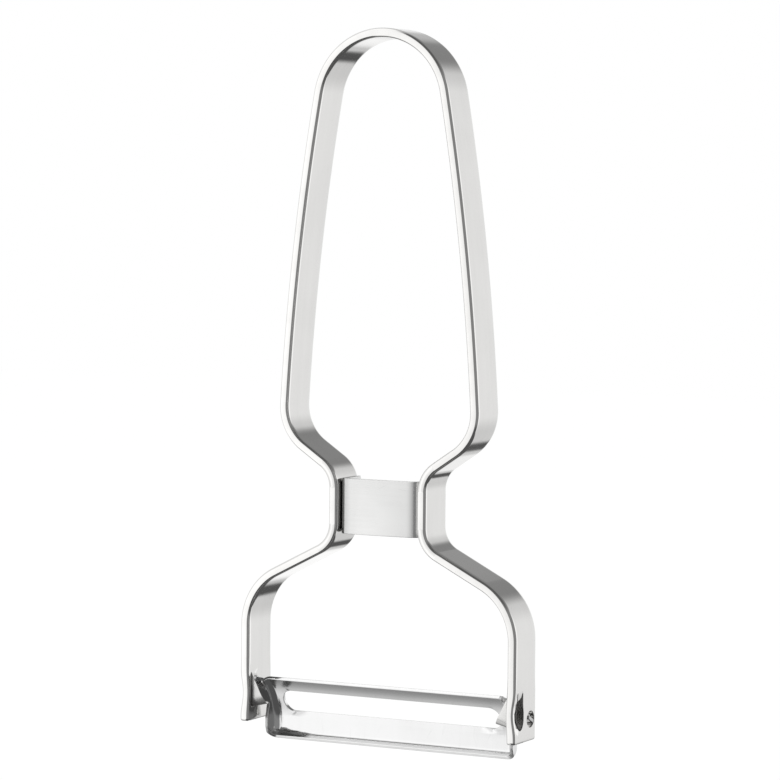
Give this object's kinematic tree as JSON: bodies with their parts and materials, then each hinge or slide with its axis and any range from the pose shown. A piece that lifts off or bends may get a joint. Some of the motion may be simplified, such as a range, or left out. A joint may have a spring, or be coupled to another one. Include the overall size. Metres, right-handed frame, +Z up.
{
  "type": "potato peeler",
  "caption": "Wide swivel-blade peeler in steel: a strip bent into a pear-shaped grip and a fork, with a slotted blade across the fork's end.",
  "frame": {"origin": "inside of the grip's crown, in the middle of the strip's width, where a hook carries the loop", "axes": "+X across the fork along the blade's pivot axis, +Y from the front of the blade to the back, +Z up from the blade to the crown"},
  "size_m": [0.0716, 0.011, 0.1655],
  "materials": {
    "handle_steel": "polished stainless steel with fine lengthwise grain",
    "spacer_steel": "satin stainless steel",
    "blade_steel": "polished stainless blade steel"
  },
  "bodies": {
    "handle": {"handle_strip": "handle_steel", "waist_spacer": "spacer_steel"},
    "blade": {"swivel_blade": "blade_steel"}
  },
  "joints": [
    {"name": "blade_swivel", "type": "hinge", "parent": "handle", "child": "blade", "pos_m": [0, 0.0027, -0.15368], "axis": [1, 0, 0], "range_deg": [-40, 2]}
  ]
}
